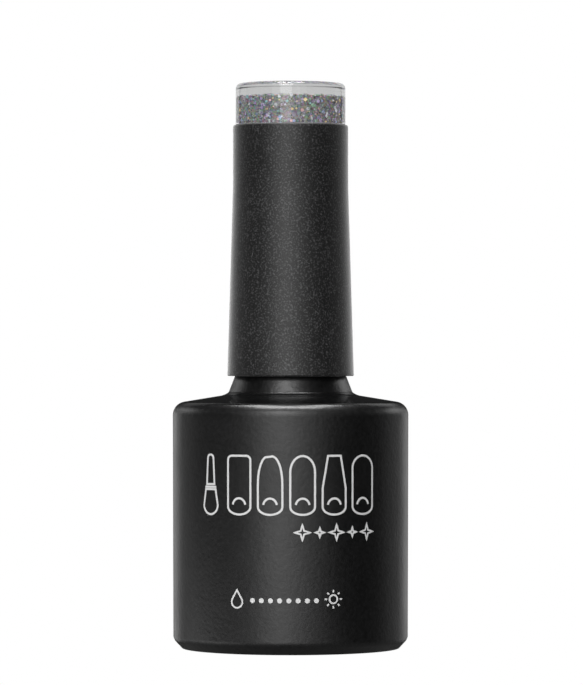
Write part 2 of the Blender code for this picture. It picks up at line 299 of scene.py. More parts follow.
def satin_lacquer():
    """Black lacquer sprayed on glass: satin, faintly mottled, and levelled smooth on the shoulder."""
    material, shader = new_material("satin_black_lacquer", (0.002, 0.002, 0.002), 0.42)
    cloud = noise_of(material, 5.0 * MM, 3.0)
    grain = noise_of(material, 0.45 * MM, 2.0)
    peel = noise_of(material, 1.3 * MM, 1.0)
    satin, smooth, collar = 0.42, 0.15, 0.38
    rough = by_height(material, [
        (28.7 * MM, satin),
        (29.5 * MM, 0.27),
        (29.85 * MM, smooth),
        (30.6 * MM, smooth),
        (31.2 * MM, collar),
    ])
    uneven = ranged(material, cloud, -0.025, 0.025)
    feed(material, added(material, rough, uneven), shader, "Roughness")
    speck = ranged(material, grain, 0.0, 1.0)
    shade = coloured(material, speck, (0.0005, 0.0005, 0.0005), (0.005, 0.005, 0.0052))
    feed(material, shade, shader, "Base Color")
    grain_bump = bumped(material, grain, 0.030 * MM)
    peel_bump = bumped(material, peel, 0.018 * MM, 1.0, grain_bump)
    unlevelled = ranged(material, rough, 0.12, 1.0, smooth, satin)
    for bump in (grain_bump, peel_bump):
        material.node_tree.links.new(unlevelled, bump.node.inputs["Strength"])
    feed(material, peel_bump, shader, "Normal")
    return material


def soft_touch():
    """Soft-touch paint on the cap: matt, with a fine pale grain and pale edges seen at a slant."""
    material, shader = new_material("soft_touch_black", (0.018, 0.018, 0.018), 0.56)
    grain = noise_of(material, 0.21 * MM, 2.0)
    cloud = noise_of(material, 4.0 * MM, 2.0)
    speck = ranged(material, grain, 0.0, 1.0, 0.50, 0.80)
    shade = coloured(material, speck, (0.002, 0.002, 0.002), (0.080, 0.080, 0.082))
    feed(material, shade, shader, "Base Color")
    feed(material, ranged(material, cloud, 0.47, 0.53), shader, "Roughness")
    feed(material, bumped(material, grain, 0.018 * MM), shader, "Normal")
    shader.inputs["Sheen Weight"].default_value = 0.5
    shader.inputs["Sheen Roughness"].default_value = 0.35
    return material


def clear_acrylic():
    """Clear cast acrylic with the faintest moulding ripple."""
    material, shader = new_material("clear_acrylic", (0.97, 0.975, 0.975), 0.015)
    shader.inputs["Transmission Weight"].default_value = 1.0
    shader.inputs["IOR"].default_value = 1.49
    ripple = noise_of(material, 3.0 * MM, 1.0)
    feed(material, bumped(material, ripple, 0.006 * MM), shader, "Normal")
    return material


def glitter_gel(name, roughness, coat=0.0):
    """Grey gel packed with glitter too fine to model, each grain of its own tint and tilt."""
    material, shader = new_material(name, (0.2, 0.2, 0.2), roughness, 0.35)
    nodes = material.node_tree.nodes
    links = material.node_tree.links
    place = nodes.new("ShaderNodeTexCoord")
    cells = nodes.new("ShaderNodeTexVoronoi")
    cells.inputs["Scale"].default_value = 1.0 / (0.19 * MM)
    links.new(place.outputs["Object"], cells.inputs["Vector"])
    tint = nodes.new("ShaderNodeHueSaturation")
    tint.inputs["Saturation"].default_value = 0.5
    tint.inputs["Value"].default_value = 0.30
    links.new(cells.outputs["Color"], tint.inputs["Color"])
    links.new(tint.outputs["Color"], shader.inputs["Base Color"])
    feed(material, bumped(material, cells.outputs["Color"], 0.08 * MM, 0.7), shader, "Normal")
    shader.inputs["Coat Weight"].default_value = coat
    return material


def flake_film():
    """Holographic film: each flake's own colour, broken up by the grating pressed into it."""
    material, shader = new_material("holographic_flake", (0.6, 0.6, 0.6), 0.3, 0.75)
    own = material.node_tree.nodes.new("ShaderNodeAttribute")
    own.attribute_name = "flake_colour"
    grating = noise_of(material, 0.10 * MM, 1.0)
    silver = ranged(material, grating, 0.0, 0.35)
    shade = mixed(material, silver, own.outputs["Color"], (0.85, 0.85, 0.9))
    feed(material, shade, shader, "Base Color")
    feed(material, ranged(material, grating, 0.22, 0.40), shader, "Roughness")
    return material


def print_ink():
    """White screen-printing ink."""
    material, shader = new_material("white_print_ink", (0.65, 0.65, 0.65), 0.5)
    grain = noise_of(material, 0.12 * MM, 2.0)
    speck = ranged(material, grain, 0.0, 1.0)
    shade = coloured(material, speck, (0.60, 0.60, 0.60), (0.70, 0.70, 0.70))
    feed(material, shade, shader, "Base Color")
    feed(material, bumped(material, grain, 0.003 * MM), shader, "Normal")
    return material


def moulded(name, colour, roughness, grain_size=0.3 * MM, subsurface=0.0):
    """A moulded plastic or foam with a fine surface grain."""
    material, shader = new_material(name, colour, roughness)
    grain = noise_of(material, grain_size, 2.0)
    darker = tuple(0.85 * c for c in colour)
    shade = coloured(material, ranged(material, grain, 0.0, 1.0), darker, colour)
    feed(material, shade, shader, "Base Color")
    feed(material, ranged(material, grain, roughness - 0.05, roughness + 0.05), shader, "Roughness")
    feed(material, bumped(material, grain, 0.004 * MM), shader, "Normal")
    shader.inputs["Subsurface Weight"].default_value = subsurface
    return material


def steel():
    """Stainless steel with light wear."""
    material, shader = new_material("stainless_steel", (0.62, 0.61, 0.60), 0.18, 1.0)
    wear = noise_of(material, 0.4 * MM, 3.0)
    feed(material, ranged(material, wear, 0.12, 0.28), shader, "Roughness")
    return material


# ---------------------------------------------------------------- bottle


def floor_height(radius):
    """Height of the cavity's floor, which rises a little to the middle."""
    edge = CAVITY_RADIUS - FLOOR_EDGE
    return CAVITY_FLOOR + FLOOR_RISE * (1 - (radius / edge) ** 2)


def bottle_profile():
    """From the middle of the cavity's floor, up the inside, over the lip and down the outside."""
    floor_centre = (CAVITY_RADIUS - FLOOR_EDGE, CAVITY_FLOOR + FLOOR_EDGE)
    floor = [(step * MM, floor_height(step * MM)) for step in range(0, 9)]
    wall = arc(floor_centre, FLOOR_EDGE, -90, 0, 12)
    dome_radius = 2.2 * MM
    dome = arc((CAVITY_RADIUS - dome_radius, CAVITY_TOP), dome_radius, 0, 75, 10)
    throat = [
        (4.6 * MM, 29.0 * MM),
        (3.9 * MM, 29.45 * MM),
        (3.4 * MM, 30.1 * MM),
        (3.1 * MM, 30.8 * MM),
        (BORE_RADIUS, 31.6 * MM),
    ]
    inside = 0.5 * MM
    outside = 0.4 * MM
    lip = arc((BORE_RADIUS + inside, NECK_TOP - inside), inside, 180, 90, 8)
    lip += arc((NECK_RADIUS - outside, NECK_TOP - outside), outside, 90, 0, 8)

    root = 0.25 * MM
    root_fillet = arc((NECK_RADIUS + root, COLLAR_TOP + root), root, 180, 270, 4)
    edge = 0.2 * MM
    collar_edge = arc((COLLAR_TOP_RADIUS - edge, COLLAR_TOP - edge), edge, 90, 20, 6)
    fillet = [
        (COLLAR_FOOT_RADIUS, COLLAR_FOOT),
        (7.58 * MM, 30.93 * MM),
        (7.74 * MM, 30.82 * MM),
        (7.98 * MM, 30.70 * MM),
    ]
    centre = (BODY_RADIUS - SHOULDER_EDGE, BODY_TOP)
    brow = arc(centre, SHOULDER_EDGE, 90 - math.degrees(SHOULDER_SLOPE), 0, 24)
    rise = (brow[0][0] - SHOULDER_START) * math.tan(SHOULDER_SLOPE)
    shoulder = [(SHOULDER_START, brow[0][1] + rise)]
    side = [(FOOT_RADIUS, CHAMFER_TOP)]
    foot = [
        (14.19 * MM, 1.33 * MM),
        (14.13 * MM, 1.16 * MM),
        (14.05 * MM, 1.0 * MM),
        (13.97 * MM, 0.88 * MM),
    ]
    stand_edge = 0.12 * MM
    stand = arc((STANDING_RADIUS - 0.1 * MM, stand_edge), stand_edge, -40, -90, 4)
    draft = 0.5 * MM
    recess = [(RECESS_RADIUS + draft, 0.0), (RECESS_RADIUS, RECESS_DEPTH), (0.0, RECESS_DEPTH)]
    outline = lip + root_fillet + collar_edge + fillet + shoulder + brow + side + foot + stand + recess
    return floor + wall + dome + throat + outline


def thread_ridge(name, root, outward, start):
    """A raised right-hand thread, which fades out at both ends. Outward is 1 or -1."""
    per_turn = 96
    steps = round(per_turn * THREAD_TURNS)
    fade = 1 / 12  # of a turn
    depth = 0.25 * MM  # how far its foot lies under the root surface
    section = [(0.0, -0.82), (0.30, -0.62), (0.62, -0.42), (0.90, -0.22), (1.0, 0.0)]
    section += [(height, -offset) for height, offset in reversed(section[:-1])]
    bm = bmesh.new()
    rings = []
    for step in range(steps + 1):
        turn = step / per_turn
        angle = 2 * math.pi * turn
        ends = min(turn, THREAD_TURNS - turn) / fade
        rise = THREAD_HEIGHT * math.sin(min(ends, 1.0) * math.pi / 2)
        middle = start + THREAD_PITCH * turn
        ring = []
        for height, offset in section:
            radius = root + outward * ((depth + rise) * height - depth)
            place = (radius * math.cos(angle), radius * math.sin(angle), middle + offset * MM)
            ring.append(bm.verts.new(place))
        rings.append(ring)
    for ring, following in zip(rings, rings[1:]):
        for i in range(len(section)):
            j = (i + 1) % len(section)
            bm.faces.new((ring[i], ring[j], following[j], following[i]))
    bm.faces.new(rings[0])
    bm.faces.new(list(reversed(rings[-1])))
    return object_from(bm, name)


def joined(piece, *others):
    """The piece as one solid with the others, which are used up."""
    for other in others:
        union = piece.modifiers.new(other.name, "BOOLEAN")
        union.operation = "UNION"
        union.solver = "EXACT"
        union.object = other
    graph = bpy.context.evaluated_depsgraph_get()
    mesh = bpy.data.meshes.new_from_object(piece.evaluated_get(graph))
    piece.modifiers.clear()
    piece.data = mesh
    for other in others:
        bpy.data.objects.remove(other)
    mesh.shade_smooth()
    mesh.set_sharp_from_angle(angle=math.radians(35))
    return piece


def make_bottle(lacquer):
    bottle = turned("bottle_glass", supported(bottle_profile(), 0.12 * MM), 192)
    joined(bottle, thread_ridge("neck_thread", NECK_RADIUS, 1, THREAD_START))
    return finish_piece(bottle, "bottle", lacquer, "lacquered_glass", "glass_bottle")


# ---------------------------------------------------------------- contents and base


def make_gel(material):
    """The liquid, which creeps up the glass and the brush, and leaves a race for the mixing balls."""
    outside = CAVITY_RADIUS - 0.02 * MM
    well = 1.75 * MM
    creep = 0.45 * MM
    level = FILL_HEIGHT - creep
    surface = [
        (well, FILL_HEIGHT - 0.1 * MM),
        (well + 0.12 * MM, level + 0.12 * MM),
        (well + 0.5 * MM, level),
    ]
    climb = arc((outside - creep, FILL_HEIGHT), creep, 270, 360, 8)
    race = 7.0 * MM
    race_top = CAVITY_FLOOR + 4.5 * MM
    clear = 0.1 * MM
    low = [
        (outside, race_top),
        (race, race_top),
        (race, floor_height(race) + clear),
        (well, floor_height(well) + clear),
    ]
    gel = turned("gel_liquid", surface + climb + low, 128, closed=True)
    return finish_piece(gel, "bottle", material, "glitter_gel", "gel_polish")


def make_balls(material):
    """Two steel balls that mix the gel when the bottle is shaken."""
    for number in (1, 2):
        node = f"mixing_ball_{number}"
        low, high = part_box(node)
        bm = bmesh.new()
        bmesh.ops.create_icosphere(bm, subdivisions=5, radius=(high.z - low.z) / 2)
        bmesh.ops.translate(bm, vec=(Vector(low) + Vector(high)) / 2, verts=bm.verts)
        ball = object_from(bm, f"steel_ball_{number}")
        finish_piece(ball, "mixing_balls", material, "stainless_steel", node)


def disc_ring(bm, inner, outer, bottom, thickness, segments=96):
    """A flat ring of ink under the base, as a thin closed solid."""
    rows = []
    top = bottom + thickness
    for radius, height in ((inner, bottom), (outer, bottom), (outer, top), (inner, top)):
        row = []
        for step in range(segments):
            angle = 2 * math.pi * step / segments
            row.append(bm.verts.new((radius * math.cos(angle), radius * math.sin(angle), height)))
        rows.append(row)
    for row, following in zip(rows, rows[1:] + rows[:1]):
        for i in range(segments):
            j = (i + 1) % segments
            bm.faces.new((row[i], row[j], following[j], following[i]))


def make_base_label(paper, ink, shade):
    """A round label in the recess, with a plain border and a spot of the shade."""
    low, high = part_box("base_label")
    edge = 0.03 * MM
    radius = high.x
    profile = [(0.0, high.z), (radius - edge, high.z), (radius, high.z - edge), (radius, low.z + edge)]
    profile += [(radius - edge, low.z), (0.0, low.z)]
    label = turned("base_label_paper", supported(profile, 0.1 * MM), 128)
    finish_piece(label, "bottle", paper, "label_paper", "base_label")
    proud = 0.008 * MM
    bottom = low.z - proud
    film = 3 * proud
    bm = bmesh.new()
    for inner, outer in ((8.9 * MM, 9.15 * MM), (3.9 * MM, 4.05 * MM)):
        disc_ring(bm, inner, outer, bottom, film)
    border = object_from(bm, "base_label_border")
    finish_piece(border, "bottle", ink, "label_paper")
    reach = 3.6 * MM
    profile = [(0.0, bottom + film), (reach, bottom + film), (reach, bottom), (0.0, bottom)]
    spot = turned("base_label_spot", profile, 96)
    return finish_piece(spot, "bottle", shade, "label_paper")


# ---------------------------------------------------------------- front print


def body_radius_at(height):
    """Outside radius of the straight side, which narrows a little towards the foot."""
    share = (height - CHAMFER_TOP) / (BODY_TOP - CHAMFER_TOP)
    return FOOT_RADIUS + (BODY_RADIUS - FOOT_RADIUS) * share


def on_body(across, height, lift):
    """A point on the front, across millimetres to the right along the surface."""
    radius = body_radius_at(height) + lift
    angle = across / BODY_RADIUS
    return (radius * math.sin(angle), -radius * math.cos(angle), height)


def resampled(path, step, closed):
    """The path with points no further apart than step, corners kept."""
    points = []
    pairs = list(zip(path, path[1:] + path[:1])) if closed else list(zip(path, path[1:]))
    for (x0, y0), (x1, y1) in pairs:
        pieces = max(1, math.ceil(math.hypot(x1 - x0, y1 - y0) / step))
        for i in range(pieces):
            points.append((x0 + (x1 - x0) * i / pieces, y0 + (y1 - y0) * i / pieces))
    if not closed:
        points.append(path[-1])
    return points


def add_stroke(bm, path, width, closed=True):
    """A line of ink along a path of (across, height) points in metres, as a thin closed solid."""
    proud = 0.010 * MM
    sunk = -0.02 * MM
    points = resampled(path, 0.35 * MM, closed)
    count = len(points)
    sections = []
    for i, point in enumerate(points):
        before = points[i - 1] if closed or i > 0 else point
        after = points[(i + 1) % count] if closed or i < count - 1 else point
        first = Vector((point[0] - before[0], point[1] - before[1]))
        second = Vector((after[0] - point[0], after[1] - point[1]))
        if first.length == 0:
            first = second
        if second.length == 0:
            second = first
        first.normalize()
        second.normalize()
        along = (first + second).normalized()
        side = Vector((-along.y, along.x))
        mitre = 1 / max(0.5, side.dot(Vector((-first.y, first.x))))
        offset = side * (width / 2 * mitre)
        corners = []
        for sign, lift in ((-1, proud), (1, proud), (1, sunk), (-1, sunk)):
            place = on_body(point[0] + sign * offset.x, point[1] + sign * offset.y, lift)
            corners.append(bm.verts.new(place))
        sections.append(corners)
    pairs = list(zip(sections, sections[1:]))
    if closed:
        pairs.append((sections[-1], sections[0]))
    for section, following in pairs:
        for k in range(4):
            m = (k + 1) % 4
            bm.faces.new((section[k], section[m], following[m], following[k]))
    if not closed:
        bm.faces.new(sections[0])
        bm.faces.new(list(reversed(sections[-1])))


def ellipse(centre, across, up, start, end, steps):
    """Points of part of an ellipse; the angles are degrees from the right."""
    points = []
    for step in range(steps + 1):
        angle = math.radians(start + (end - start) * step / steps)
        points.append((centre[0] + across * math.cos(angle), centre[1] + up * math.sin(angle)))
    return points


def nail_tip(kind, middle, half, top):
    """The free edge of a nail outline, from its right side to its left side."""
    if kind == "oval":
        return ellipse((middle, top - 1.3 * half), half, 1.3 * half, 0, 180, 18)
    if kind == "almond":
        rise = 2.3 * half
        angles = [math.radians(9 * step) for step in range(10)]
        right = [(middle + half * math.cos(a) ** 0.8, top - rise + rise * math.sin(a)) for a in angles]
        left = [(2 * middle - x, y) for x, y in reversed(right[:-1])]
        return right + left
    if kind == "coffin":
        narrow = 0.55 * half
        shoulder = top - 2.6 * half
        return [
            (middle + half, shoulder),
            (middle + narrow, top),
            (middle - narrow, top),
            (middle - half, shoulder),
        ]
    if kind == "square":
        corner = 0.35 * half
        right = ellipse((middle + half - corner, top - corner), corner, corner, 0, 90, 5)
        left = ellipse((middle - half + corner, top - corner), corner, corner, 90, 180, 5)
        return right + left
    return ellipse((middle, top - half), half, half, 0, 180, 18)


def add_nail(bm, kind, left, width, bottom, top, line):
    """The outline of a finger nail with its moon, drawn in one line weight."""
    half = width / 2
    middle = left + half
    cuticle = 0.62 * half
    outline = nail_tip(kind, middle, half, top)
    outline += ellipse((middle, bottom + cuticle), half, cuticle, 180, 360, 16)
    add_stroke(bm, outline, line)
    moon = ellipse((middle, bottom + 1.15 * cuticle), 0.56 * half, 0.95 * cuticle, 8, 172, 10)
    add_stroke(bm, moon, line, closed=False)


def add_brush(bm, middle, bottom, top, width, line):
    """A small nail brush, drawn upright: handle, collar and bristles."""
    half = width / 2
    collar = bottom + 0.42 * (top - bottom)
    handle_foot = collar + 0.6 * MM
    handle = [(middle - 0.55 * half, handle_foot), (middle + 0.55 * half, handle_foot)]
    handle += ellipse((middle, top - 0.40 * half), 0.40 * half, 0.40 * half, 0, 180, 8)
    add_stroke(bm, handle, line)
    band = collar + 0.28 * MM
    add_stroke(bm, [(middle - half * 0.8, band), (middle + half * 0.8, band)], line, closed=False)
    belly = 1.1 * MM
    bristle = [(middle + 0.7 * half, collar), (middle - 0.7 * half, collar)]
    bristle += ellipse((middle, bottom + belly), half, belly, 180, 360, 14)
    add_stroke(bm, bristle, line)


def add_sparkle(bm, centre, reach, line):
    """A four-pointed star with hollow sides."""
    points = []
    for quarter in range(4):
        for share in (0.0, 0.5):
            angle = math.pi / 2 * (quarter + share)
            radius = reach if share == 0.0 else 0.30 * reach
            points.append((centre[0] + radius * math.sin(angle), centre[1] + radius * math.cos(angle)))
    add_stroke(bm, points, line)


def add_dot(bm, centre, radius):
    """A filled round dot: a ring of ink whose line is as wide as its radius."""
    ring = ellipse(centre, radius / 2, radius / 2, 0, 360, 16)[:-1]
    add_stroke(bm, ring, radius * 0.98)


def add_sun(bm, centre, reach, line):
    """A ring with short rays round it."""
    add_stroke(bm, ellipse(centre, 0.45 * reach, 0.45 * reach, 0, 360, 20)[:-1], line)
    rays = 8
    for ray in range(rays):
        angle = 2 * math.pi * ray / rays
        direction = (math.cos(angle), math.sin(angle))
        start = (centre[0] + 0.72 * reach * direction[0], centre[1] + 0.72 * reach * direction[1])
        end = (centre[0] + reach * direction[0], centre[1] + reach * direction[1])
        add_stroke(bm, [start, end], line, closed=False)


def add_drop(bm, centre, height, line):
    """A falling drop: a round bottom that runs up to a point."""
    radius = 0.34 * height
    low = centre[1] - height / 2 + radius
    points = ellipse((centre[0], low), radius, radius, 150, 390, 18)
    points.append((centre[0], centre[1] + height / 2))
    add_stroke(bm, points, line)


def make_print(ink):
    """A generic front print: five nail shapes, a brush and a row of small marks."""
    bm = bmesh.new()
    line = 0.25 * MM
    fine = 0.20 * MM
    left = -7.8 * MM
    nail = 2.95 * MM
    space = 0.93 * MM
    nail_bottom, nail_top = 16.65 * MM, 23.6 * MM
    for number, kind in enumerate(("square", "almond", "oval", "coffin", "round")):
        add_nail(bm, kind, left + number * (nail + space), nail, nail_bottom, nail_top, line)
    add_brush(bm, -10.4 * MM, 16.6 * MM, 23.7 * MM, 2.2 * MM, line)
    sparkle_row = 14.55 * MM
    for number in range(5):
        reach = (0.95 if number % 2 == 0 else 0.6) * MM
        add_sparkle(bm, ((1.4 + 2.1 * number) * MM, sparkle_row), reach, fine)
    mark_row = 6.65 * MM
    add_drop(bm, (-6.6 * MM, mark_row), 2.1 * MM, fine)
    for number in range(8):
        add_dot(bm, ((-4.6 + 1.1 * number) * MM, 6.5 * MM), 0.30 * MM)
    add_sun(bm, (5.2 * MM, mark_row), 1.1 * MM, fine)
    made = object_from(bm, "front_print", 60.0)
    return finish_piece(made, "bottle", ink, "lacquered_glass")


# ---------------------------------------------------------------- cap


def sleeve_profile():
    """From the window's seat, over the rim, down the outside and up the press bore."""
    rim = 0.26 * MM
    foot = 0.15 * MM
    press_bore = 6.62 * MM
    upper_bore = 5.9 * MM
    ledge = 46.7 * MM
    web_bottom = WEB_TOP - 1.2 * MM
    outer_top = [(SEAT_RADIUS, SLEEVE_TOP), (SLEEVE_TOP_RADIUS - rim, SLEEVE_TOP)]
    outer_top += arc((SLEEVE_TOP_RADIUS - rim, SLEEVE_TOP - rim), rim, 80, 0, 8)
    taper = [
        (SLEEVE_TOP_RADIUS, SLEEVE_TAPER_TOP + 0.8 * MM),
        (SLEEVE_TOP_RADIUS + 0.012 * MM, SLEEVE_TAPER_TOP - 0.6 * MM),
    ]
    bottom = arc((SLEEVE_BOTTOM_RADIUS - foot, SLEEVE_BOTTOM + foot), foot, 0, -90, 6)
    inside = [
        (press_bore + 2 * foot, SLEEVE_BOTTOM),
        (press_bore, SLEEVE_BOTTOM + 3 * foot),
        (press_bore, ledge),
        (upper_bore, ledge),
        (upper_bore, web_bottom),
        (0.0, web_bottom),
    ]
    return [(0.0, WEB_TOP), (SEAT_RADIUS, WEB_TOP)] + outer_top + taper + bottom + inside


def make_sleeve(material):
    sleeve = turned("cap_sleeve_shell", supported(sleeve_profile(), 0.08 * MM), 160)
    return finish_piece(sleeve, "cap", material, "soft_touch_black", "cap_sleeve")


def window_profile():
    """A clear plug with a rounded top edge, a skirt on the sleeve's rim and a pocket beneath."""
    plug = SEAT_RADIUS - 0.15 * MM
    edge = 0.12 * MM
    pocket_edge = 0.15 * MM
    top = arc((WINDOW_RADIUS - WINDOW_EDGE, WINDOW_TOP - WINDOW_EDGE), WINDOW_EDGE, 90, 0, 14)
    skirt = arc((WINDOW_RADIUS - edge, WINDOW_SEAT + edge), edge, 0, -90, 4)
    ceiling = arc((POCKET_RADIUS - pocket_edge, POCKET_TOP - pocket_edge), pocket_edge, 0, 90, 4)
    inside = [(plug, WINDOW_SEAT), (plug, WINDOW_BOTTOM), (POCKET_RADIUS, WINDOW_BOTTOM)] + ceiling
    return [(0.0, WINDOW_TOP)] + top + skirt + inside + [(0.0, POCKET_TOP)]


def make_window(material):
    window = turned("colour_window_clear", supported(window_profile(), 0.08 * MM), 160)
    window.visible_shadow = False  # lamps reach the sample through it
    return finish_piece(window, "cap", material, "clear_acrylic", "colour_window")


def make_sample(material):
    """The gel touches the window all over, so that no air shows between them."""
    contact = 0.01 * MM
    radius = POCKET_RADIUS + contact
    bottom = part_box("colour_sample")[0].z
    top = POCKET_TOP + contact
    edge = 0.15 * MM
    profile = [(0.0, top)] + arc((radius - edge, top - edge), edge, 90, 0, 4)
    profile += [(radius, bottom), (0.0, bottom)]
    sample = turned("colour_sample_gel", supported(profile, 0.1 * MM), 128)
    return finish_piece(sample, "cap", material, "glitter_gel", "colour_sample")


def make_flakes(material):
    """Six-sided film flakes, cast into the clear layer round and on top of the sample."""
    chance = random.Random(7)
    bm = bmesh.new()
    tints = bm.loops.layers.float_color.new("flake_colour")
    bottom = WINDOW_BOTTOM + 0.3 * MM
    side_area = 2 * math.pi * POCKET_RADIUS * (POCKET_TOP - bottom)
    top_area = math.pi * POCKET_RADIUS ** 2
    per_area = 7.0 / MM ** 2
    for place in range(round((side_area + top_area) * per_area)):
        size = chance.choice((0.08, 0.09, 0.11, 0.13, 0.15, 0.18, 0.23)) * MM
        turn = 2 * math.pi * chance.random()
        outward = Vector((math.cos(turn), math.sin(turn), 0.0))
        lift = (0.02 + 0.05 * chance.random()) * MM
        if place < side_area * per_area:
            centre = outward * (POCKET_RADIUS + lift)
            centre.z = bottom + (POCKET_TOP - 0.05 * MM - bottom) * chance.random()
        else:
            centre = outward * ((POCKET_RADIUS - 0.1 * MM) * math.sqrt(chance.random()))
            centre.z = POCKET_TOP + lift
            outward = Vector((0.0, 0.0, 1.0))
        tilt = min(0.5, 0.045 * MM / size)
        facing = (outward + tilt * Vector([chance.uniform(-1, 1) for _ in range(3)])).normalized()
        side = facing.orthogonal().normalized()
        other = facing.cross(side)
        start = math.pi * chance.random()
        corners = []
        for corner in range(6):
            angle = start + math.pi / 3 * corner
            direction = math.cos(angle) * side + math.sin(angle) * other
            corners.append(bm.verts.new(centre + size * direction))
        face = bm.faces.new(corners)
        tint = chance.choice(FLAKE_TINTS)
        bright = chance.uniform(0.10, 1.12)
        for loop in face.loops:
            loop[tints] = (tint[0] * bright, tint[1] * bright, tint[2] * bright, 1.0)
    mesh = bpy.data.meshes.new("sample_flakes")
    bm.to_mesh(mesh)
    bm.free()
    flakes = bpy.data.objects.new("sample_flakes", mesh)
    bpy.context.scene.collection.objects.link(flakes)
    return finish_piece(flakes, "cap", material, "glitter_gel")


# ---------------------------------------------------------------- brush and inner cap


def make_stem(material):
    """The brush's rod, with its head, sealing flange, waist and open ferrule."""
    flange_top = CAP_CEILING - 0.15 * MM
    flange_bottom = NECK_TOP + 0.25 * MM
    flange = 2.7 * MM
    head = 1.75 * MM
    waist = 1.24 * MM
    ferrule = 0.95 * MM
    ferrule_top = STEM_BOTTOM + 2.9 * MM
    edge = 0.12 * MM
    profile = [
        (0.0, STEM_TOP),
        (head - 0.3 * MM, STEM_TOP),
        (head, STEM_TOP - 0.35 * MM),
        (head, flange_top),
        (flange, flange_top),
        (flange, flange_bottom),
        (1.6 * MM, flange_bottom - 0.5 * MM),
        (1.38 * MM, flange_bottom - 0.95 * MM),
        (STEM_RADIUS, flange_bottom - 1.6 * MM),
        (STEM_RADIUS, 24.0 * MM),
        (waist, 22.0 * MM),
        (waist, 17.2 * MM),
        (STEM_RADIUS, 16.6 * MM),
        (STEM_RADIUS, STEM_BOTTOM + edge),
        (STEM_RADIUS - edge, STEM_BOTTOM),
        (ferrule, STEM_BOTTOM),
        (ferrule, ferrule_top),
        (0.0, ferrule_top),
    ]
    stem = turned("brush_rod", supported(profile, 0.05 * MM), 64)
    return finish_piece(stem, "cap", material, "black_plastic", "brush_stem")


def tuft_radius(height):
    """Outside of the bundle of bristles: tight in the ferrule, then flaring."""
    free = max(0.0, min(1.0, (STEM_BOTTOM - height) / (STEM_BOTTOM - TUFT_TIP)))
    return (0.78 + 0.52 * math.sin(min(1.0, free / 0.62) * math.pi / 2)) * MM


def make_bristles(material):
    """Nylon filaments, cut to a rounded tip."""
    chance = random.Random(3)
    count = 230
    sides = 5
    golden = math.pi * (3 - math.sqrt(5))
    bm = bmesh.new()
    for number in range(count):
        share = math.sqrt((number + 0.5) / count)
        angle = golden * number
        rounding = (1 - math.sqrt(1 - share * share)) * 2.2 * MM
        tip = TUFT_TIP + 0.02 * MM + rounding + chance.uniform(0, 0.25) * MM
        wander = chance.uniform(-0.12, 0.12)
        steps = 12
        rings = []
        for step in range(steps + 1):
            along = step / steps
            height = TUFT_TOP - 0.05 * MM + (tip - TUFT_TOP) * along
            reach = tuft_radius(height) * 0.95 * share
            gather = 1 - 0.28 * max(0.0, along - 0.75) / 0.25
            turn = angle + wander * along
            middle = (reach * gather * math.cos(turn), reach * gather * math.sin(turn))
            thick = (0.045 if step < steps else 0.020) * MM
            ring = []
            for side in range(sides):
                around = 2 * math.pi * side / sides
                across = middle[0] + thick * math.cos(around)
                deep = middle[1] + thick * math.sin(around)
                ring.append(bm.verts.new((across, deep, height)))
            rings.append(ring)
        for ring, following in zip(rings, rings[1:]):
            for i in range(sides):
                j = (i + 1) % sides
                bm.faces.new((ring[i], ring[j], following[j], following[i]))
        bm.faces.new(rings[0])
        bm.faces.new(list(reversed(rings[-1])))
    tuft = object_from(bm, "brush_bristles", 80.0)
    return finish_piece(tuft, "cap", material, "nylon_bristle", "brush_tuft")


def make_seal(name, node, body, material, slot, edge):
    """A flat ring with softly cut edges."""
    low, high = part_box(node)
    inner = 3.1 * MM
    outer = high.x
    profile = [
        (outer - edge, high.z),
        (outer, high.z - edge),
        (outer, low.z + edge),
        (outer - edge, low.z),
        (inner + edge, low.z),
        (inner, low.z + edge),
        (inner, high.z - edge),
        (inner + edge, high.z),
    ]
    ring = turned(name, profile, 128, closed=True)
    return finish_piece(ring, body, material, slot, node)


def make_inner_cap(material):
    """The threaded cup pressed into the sleeve, with a boss for the stem and ribs that grip."""
    low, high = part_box("inner_cap")
    bore = 5.75 * MM
    outer = 6.42 * MM
    shoulder = 46.4 * MM
    boss = 3.0 * MM
    socket = 1.9 * MM
    socket_top = STEM_TOP + 0.15 * MM
    fillet = arc((boss + 0.5 * MM, shoulder + 0.5 * MM), 0.5 * MM, 180, 270, 6)
    profile = [(0.0, high.z)] + arc((boss - 0.3 * MM, high.z - 0.3 * MM), 0.3 * MM, 90, 0, 6) + fillet
    profile += arc((outer - 0.3 * MM, shoulder - 0.3 * MM), 0.3 * MM, 90, 0, 6)
    profile += [
        (outer, low.z),
        (bore + 0.2 * MM, low.z),
        (bore, low.z + 0.4 * MM),
        (bore, CAP_CEILING),
        (socket, CAP_CEILING),
        (socket, socket_top),
        (0.0, socket_top),
    ]
    cup = turned("inner_cap_cup", supported(profile, 0.1 * MM), 128)
    tools = [thread_ridge("cap_thread", bore, -1, THREAD_START + THREAD_PITCH / 2)]
    ribs = 6
    for rib in range(ribs):
        angle = 2 * math.pi * (rib + 0.25) / ribs
        bm = bmesh.new()
        bmesh.ops.create_cube(bm, size=1.0)
        bmesh.ops.scale(bm, vec=(0.34 * MM, 0.5 * MM, shoulder - low.z - 3.0 * MM), verts=bm.verts)
        bmesh.ops.translate(bm, vec=(outer - 0.07 * MM, 0.0, (shoulder + low.z) / 2), verts=bm.verts)
        around = Matrix.Rotation(angle, 3, "Z")
        bmesh.ops.rotate(bm, cent=(0.0, 0.0, 0.0), matrix=around, verts=bm.verts)
        tools.append(object_from(bm, f"rib_{rib + 1}"))
    joined(cup, *tools)
    return finish_piece(cup, "cap", material, "natural_plastic", "inner_cap")


def dress(node, material):
    """A better material for a CAD piece that stays as it is."""
    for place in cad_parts[node].material_slots:
        place.material = material


# ---------------------------------------------------------------- studio


